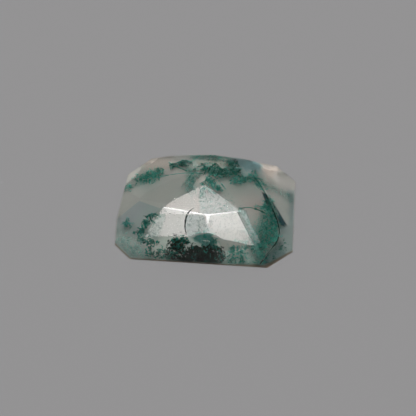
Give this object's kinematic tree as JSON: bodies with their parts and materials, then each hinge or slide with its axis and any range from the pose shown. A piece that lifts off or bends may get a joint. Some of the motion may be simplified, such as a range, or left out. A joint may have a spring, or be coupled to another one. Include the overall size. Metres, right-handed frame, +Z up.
{
  "type": "rose cut gemstone",
  "caption": "Oblong rose cut stone with cut corners: flat back, low faceted dome, see-through grey agate with green moss inside",
  "frame": {"origin": "middle of the flat back, on its plane", "axes": "+X along the long side, -Y towards the front with the two polished hollows, +Z up through the apex of the dome"},
  "size_m": [0.014, 0.0102, 0.0034],
  "materials": {
    "stone": "polished"
  },
  "bodies": {
    "root": {"stone": "stone"}
  },
  "joints": []
}
